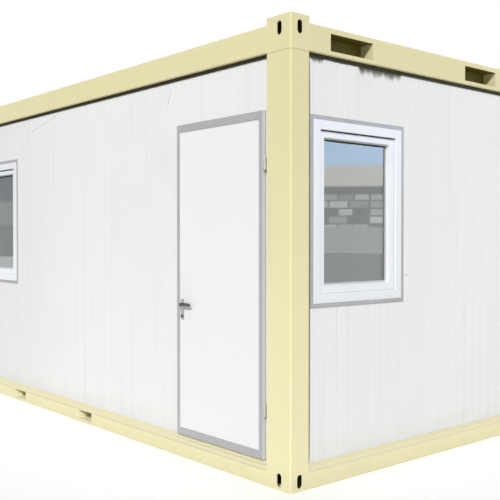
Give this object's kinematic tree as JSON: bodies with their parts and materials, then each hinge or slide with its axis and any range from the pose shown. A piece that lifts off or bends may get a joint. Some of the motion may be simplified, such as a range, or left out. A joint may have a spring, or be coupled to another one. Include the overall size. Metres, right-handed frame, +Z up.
{
  "type": "site office",
  "caption": "Flat-pack steel site office: slotted corner blocks, folded rails and posts, ribbed wall panels, outward hinged door with sprung lever, framed windows and fork tunnels.",
  "frame": {"origin": "middle of the footprint, on the ground", "axes": "+X along the length towards the end with the window, -Y out of the door side, +Z up"},
  "size_m": [6.055, 2.463, 2.8],
  "materials": {
    "frame_paint": "satin",
    "wall_panel": "satin",
    "door_paint": "satin",
    "door_frame_grey": "satin",
    "window_plastic": "gloss",
    "trim_grey": "satin",
    "window_glass": "gloss",
    "black_seal": "matte",
    "roof_steel": "satin",
    "ceiling_board": "matte",
    "floor_board": "matte",
    "galvanised": "satin",
    "hinge_steel": "satin",
    "lock_metal": "satin",
    "lever_black": "satin"
  },
  "bodies": {
    "cabin": {"front_base_rail": "frame_paint", "back_base_rail": "frame_paint", "left_base_rail": "frame_paint", "right_base_rail": "frame_paint", "fork_tunnels": "frame_paint", "base_corner_blocks": "frame_paint", "front_left_post": "frame_paint", "front_right_post": "frame_paint", "back_left_post": "frame_paint", "back_right_post": "frame_paint", "front_roof_rail": "frame_paint", "back_roof_rail": "frame_paint", "left_roof_rail": "frame_paint", "right_roof_rail": "frame_paint", "roof_pocket_boxes": "frame_paint", "roof_corner_blocks": "frame_paint", "front_panel_far_left": "wall_panel", "front_window_panel": "wall_panel", "front_panel_middle": "wall_panel", "front_panel_near_door": "wall_panel", "door_lock_side_panel": "wall_panel", "door_hinge_side_panel": "wall_panel", "door_head_panel": "wall_panel", "right_window_panel": "wall_panel", "right_panel_back": "wall_panel", "back_wall_panels": "wall_panel", "left_wall_panels": "wall_panel", "floor_joists": "galvanised", "floor_deck": "floor_board", "roof_sheet": "roof_steel", "ceiling": "ceiling_board", "head_seals": "black_seal", "door_frame": "door_frame_grey", "hinge_frame_halves": "hinge_steel", "front_window_trim": "trim_grey", "front_window_frame": "window_plastic", "front_window_sash": "window_plastic", "front_window_glass": "window_glass", "right_window_trim": "trim_grey", "right_window_frame": "window_plastic", "right_window_sash": "window_plastic", "right_window_glass": "window_glass"},
    "door": {"door_leaf": "door_paint", "door_leaf_border": "door_frame_grey", "hinge_leaf_halves": "hinge_steel", "lock_plates": "lock_metal"},
    "lever": {"lever_handle": "lever_black"}
  },
  "joints": [
    {"name": "door_swing", "type": "hinge", "parent": "cabin", "child": "door", "pos_m": [2.793, -1.209, 1.2], "axis": [0, 0, 1], "range_deg": [0, 130]},
    {"name": "lever_turn", "type": "hinge", "parent": "door", "child": "lever", "pos_m": [1.95, -1.1825, 1.04], "axis": [0, 1, 0], "range_deg": [0, 40], "stiffness_Nm_per_rad": 1, "springref_deg": -17.19}
  ]
}
